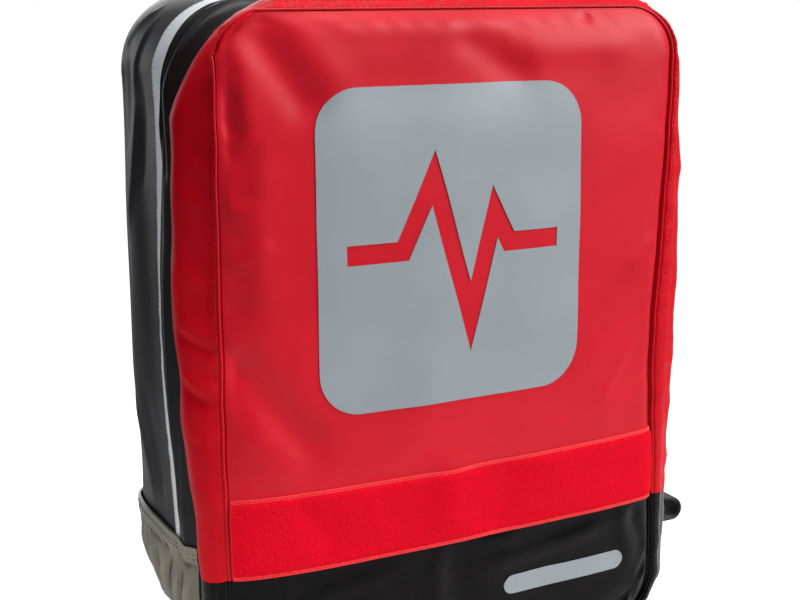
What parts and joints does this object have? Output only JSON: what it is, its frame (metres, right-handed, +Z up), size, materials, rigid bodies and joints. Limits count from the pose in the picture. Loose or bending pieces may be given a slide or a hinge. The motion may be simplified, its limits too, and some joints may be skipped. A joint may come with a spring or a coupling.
{
  "type": "medical backpack",
  "caption": "Soft upright medical backpack: black main compartment, red front pocket with a loop-pile band, grey reflective trim, coated base, padded shoulder straps and a grab handle.",
  "frame": {"origin": "middle of the bounding box's base, on the surface that the pack stands on", "axes": "+Z up; -Y is the front with the red pocket, +Y the back with the shoulder straps; +X is at the right of someone who looks at the front"},
  "size_m": [0.4178, 0.2484, 0.4897],
  "materials": {
    "red_tarpaulin": "satin coated cloth",
    "red_loop_pile": "matt loop pile",
    "black_tarpaulin": "satin coated cloth",
    "black_fabric": "matt woven cloth",
    "boot_fabric": "semi-gloss coated cloth",
    "reflective_grey": "satin reflective film",
    "webbing_black": "woven webbing",
    "black_plastic": "moulded matt plastic"
  },
  "bodies": {
    "root": {"main_gusset": "black_fabric", "divider_panel": "black_fabric", "back_panel": "black_fabric", "pocket_gusset_red": "red_tarpaulin", "pocket_gusset_black": "black_tarpaulin", "front_panel_red": "red_tarpaulin", "front_panel_black": "black_tarpaulin", "loop_band": "red_loop_pile", "emblem": "reflective_grey", "plain_mark": "reflective_grey", "reflective_strip": "reflective_grey", "main_flap": "black_tarpaulin", "pocket_flap": "red_tarpaulin", "seam_welt_red": "red_tarpaulin", "seam_welt_black": "black_tarpaulin", "boot": "boot_fabric", "side_loop": "webbing_black", "grab_handle": "webbing_black", "shoulder_strap_left": "black_fabric", "shoulder_strap_right": "black_fabric", "strap_buckle_left": "black_plastic", "strap_buckle_right": "black_plastic", "buckle_tab_left": "webbing_black", "buckle_tab_right": "webbing_black", "lower_webbing_left": "webbing_black", "lower_webbing_right": "webbing_black"}
  },
  "joints": []
}
